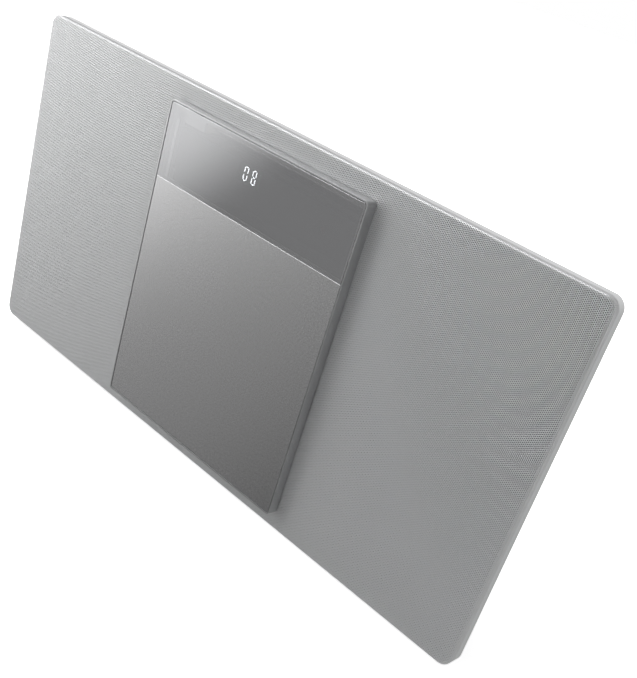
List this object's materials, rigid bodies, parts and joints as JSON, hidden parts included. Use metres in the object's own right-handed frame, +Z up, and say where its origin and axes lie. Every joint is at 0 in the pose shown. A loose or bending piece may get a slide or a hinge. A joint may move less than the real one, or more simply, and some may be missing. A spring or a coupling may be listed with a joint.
{
  "type": "mini hifi system",
  "caption": "Slim upright micro hifi with a punched-metal front, a mirror door that slides sideways over a vertical disc well, a shallow rear cabinet and a foot plate.",
  "frame": {"origin": "bottom centre of the whole box, on the surface that the pads stand on", "axes": "+X to the right seen from the front, front faces -Y, +Z up"},
  "size_m": [0.432, 0.107, 0.2165],
  "materials": {
    "punched_silver": "satin, punched and anodised",
    "frame_silver": "satin silver paint on moulding",
    "door_silver": "brushed satin",
    "mirror_plate": "polished satin mirror",
    "window_glass": "half-mirror, tinted",
    "digit_light": "lit diffuser",
    "cloth_black": "acoustic cloth",
    "plastic_black": "fine grain",
    "plastic_dark": "fine grain",
    "plastic_ivory": "acetal",
    "rubber_black": "matt",
    "steel_bright": "ground",
    "steel_zinc": "zinc plated",
    "stand_paint": "silver powder coat",
    "magnet_grey": "ferrite",
    "board_green": "solder mask",
    "cone_paper": "pressed paper",
    "sink_aluminium": "extruded",
    "core_steel": "varnished laminations",
    "button_silver": "satin silver",
    "lens_glass": "coated lens",
    "brass_pin": "plated",
    "sensor_red": "infrared window"
  },
  "bodies": {
    "casing": {"front_grille": "punched_silver", "grille_cloth": "cloth_black", "front_frame": "frame_silver", "disc_chassis": "plastic_dark", "rear_cabinet": "plastic_dark", "stand_plate": "stand_paint", "foot_pads": "rubber_black", "case_screws": "steel_zinc", "chassis_screws": "steel_zinc", "stand_screws": "steel_zinc", "guide_rods": "steel_bright", "drive_belt": "rubber_black", "door_motor": "steel_zinc", "display_bezel": "plastic_black", "display_board": "board_green", "display_digits": "digit_light", "remote_sensor": "sensor_red", "mech_plate": "steel_zinc", "damper_bushes": "rubber_black", "spindle_motor": "steel_zinc", "sled_motor": "steel_zinc", "sled_rods": "steel_bright", "speaker_baskets": "plastic_black", "speaker_magnets": "magnet_grey", "speaker_surrounds": "rubber_black", "main_board": "board_green", "heat_sink": "sink_aluminium", "power_board": "board_green", "transformer": "core_steel", "button_board": "board_green", "terminal_plate": "plastic_black", "mains_inlet": "plastic_black", "antenna_socket": "steel_bright", "audio_sockets": "plastic_black"},
    "door": {"door_frame": "door_silver", "door_panel": "mirror_plate", "display_window": "window_glass", "door_rack": "plastic_ivory", "door_shoes": "plastic_ivory"},
    "door_pinion": {"door_pinion": "plastic_ivory"},
    "pulley_gear": {"pulley_gear": "plastic_ivory"},
    "motor_pulley": {"motor_pulley": "plastic_ivory"},
    "turntable": {"turntable": "plastic_black"},
    "hub_claw_1": {"hub_claw_1": "plastic_ivory"},
    "hub_claw_2": {"hub_claw_2": "plastic_ivory"},
    "hub_claw_3": {"hub_claw_3": "plastic_ivory"},
    "sled_pinion": {"sled_pinion": "plastic_ivory"},
    "sled_gear": {"sled_gear": "plastic_ivory"},
    "pickup_sled": {"pickup_sled": "plastic_black"},
    "objective_lens": {"objective_lens": "lens_glass"},
    "left_cone": {"left_cone": "cone_paper"},
    "right_cone": {"right_cone": "cone_paper"},
    "power_button": {"power_button": "button_silver"},
    "source_button": {"source_button": "button_silver"},
    "open_button": {"open_button": "button_silver"},
    "play_button": {"play_button": "button_silver"},
    "stop_button": {"stop_button": "button_silver"},
    "volume_down_button": {"volume_down_button": "button_silver"},
    "volume_up_button": {"volume_up_button": "button_silver"}
  },
  "joints": [
    {"name": "door_slide", "type": "slide", "parent": "casing", "child": "door", "axis": [1, 0, 0], "range_m": [0, 0.128]},
    {"name": "door_pinion_spin", "type": "hinge", "parent": "casing", "child": "door_pinion", "pos_m": [0.062, -0.04, 0.035], "axis": [0, 1, 0], "range_deg": [-1225, 2]},
    {"name": "pulley_gear_spin", "type": "hinge", "parent": "casing", "child": "pulley_gear", "pos_m": [0.062, -0.028, 0.0536], "axis": [0, 1, 0], "range_deg": [-4, 4195]},
    {"name": "motor_pulley_spin", "type": "hinge", "parent": "casing", "child": "motor_pulley", "pos_m": [0.062, -0.02, 0.098], "axis": [0, 1, 0], "range_deg": [-8, 8390]},
    {"name": "turntable_spin", "type": "hinge", "parent": "casing", "child": "turntable", "pos_m": [-0.013, -0.032, 0.103], "axis": [0, 1, 0], "continuous": true},
    {"name": "hub_claw_1_press", "type": "slide", "parent": "turntable", "child": "hub_claw_1", "axis": [0, 0, -1], "range_m": [0, 0.0006], "stiffness_N_per_m": 300, "springref_m": -0.0003},
    {"name": "hub_claw_2_press", "type": "slide", "parent": "turntable", "child": "hub_claw_2", "axis": [0.866, 0, 0.5], "range_m": [0, 0.0006], "stiffness_N_per_m": 300, "springref_m": -0.0003},
    {"name": "hub_claw_3_press", "type": "slide", "parent": "turntable", "child": "hub_claw_3", "axis": [-0.866, 0, 0.5], "range_m": [0, 0.0006], "stiffness_N_per_m": 300, "springref_m": -0.0003},
    {"name": "sled_slide", "type": "slide", "parent": "casing", "child": "pickup_sled", "axis": [0, 0, -1], "range_m": [0, 0.033]},
    {"name": "sled_gear_spin", "type": "hinge", "parent": "casing", "child": "sled_gear", "pos_m": [0.012, -0.026, 0.07], "axis": [0, 1, 0], "range_deg": [-632, 2]},
    {"name": "sled_pinion_spin", "type": "hinge", "parent": "casing", "child": "sled_pinion", "pos_m": [0.0235, -0.026, 0.07], "axis": [0, 1, 0], "range_deg": [-4, 2275]},
    {"name": "lens_focus", "type": "slide", "parent": "pickup_sled", "child": "objective_lens", "axis": [0, -1, 0], "range_m": [-0.0004, 0.0004], "stiffness_N_per_m": 60},
    {"name": "left_cone_throw", "type": "slide", "parent": "casing", "child": "left_cone", "axis": [0, -1, 0], "range_m": [-0.0015, 0.0015], "stiffness_N_per_m": 1500},
    {"name": "right_cone_throw", "type": "slide", "parent": "casing", "child": "right_cone", "axis": [0, -1, 0], "range_m": [-0.0015, 0.0015], "stiffness_N_per_m": 1500},
    {"name": "power_press", "type": "slide", "parent": "casing", "child": "power_button", "axis": [0, 0, -1], "range_m": [0, 0.0008], "stiffness_N_per_m": 600, "springref_m": -0.0005},
    {"name": "source_press", "type": "slide", "parent": "casing", "child": "source_button", "axis": [0, 0, -1], "range_m": [0, 0.0008], "stiffness_N_per_m": 600, "springref_m": -0.0005},
    {"name": "open_press", "type": "slide", "parent": "casing", "child": "open_button", "axis": [0, 0, -1], "range_m": [0, 0.0008], "stiffness_N_per_m": 600, "springref_m": -0.0005},
    {"name": "play_press", "type": "slide", "parent": "casing", "child": "play_button", "axis": [0, 0, -1], "range_m": [0, 0.0008], "stiffness_N_per_m": 600, "springref_m": -0.0005},
    {"name": "stop_press", "type": "slide", "parent": "casing", "child": "stop_button", "axis": [0, 0, -1], "range_m": [0, 0.0008], "stiffness_N_per_m": 600, "springref_m": -0.0005},
    {"name": "volume_down_press", "type": "slide", "parent": "casing", "child": "volume_down_button", "axis": [0, 0, -1], "range_m": [0, 0.0008], "stiffness_N_per_m": 600, "springref_m": -0.0005},
    {"name": "volume_up_press", "type": "slide", "parent": "casing", "child": "volume_up_button", "axis": [0, 0, -1], "range_m": [0, 0.0008], "stiffness_N_per_m": 600, "springref_m": -0.0005}
  ],
  "couplings": [
    {"joint": "door_pinion_spin", "follows": "door_slide", "rad_per_m": -166.67},
    {"joint": "pulley_gear_spin", "follows": "door_slide", "rad_per_m": 571.43},
    {"joint": "motor_pulley_spin", "follows": "door_slide", "rad_per_m": 1142.9},
    {"joint": "sled_gear_spin", "follows": "sled_slide", "rad_per_m": -333.33},
    {"joint": "sled_pinion_spin", "follows": "sled_slide", "rad_per_m": 1200}
  ]
}
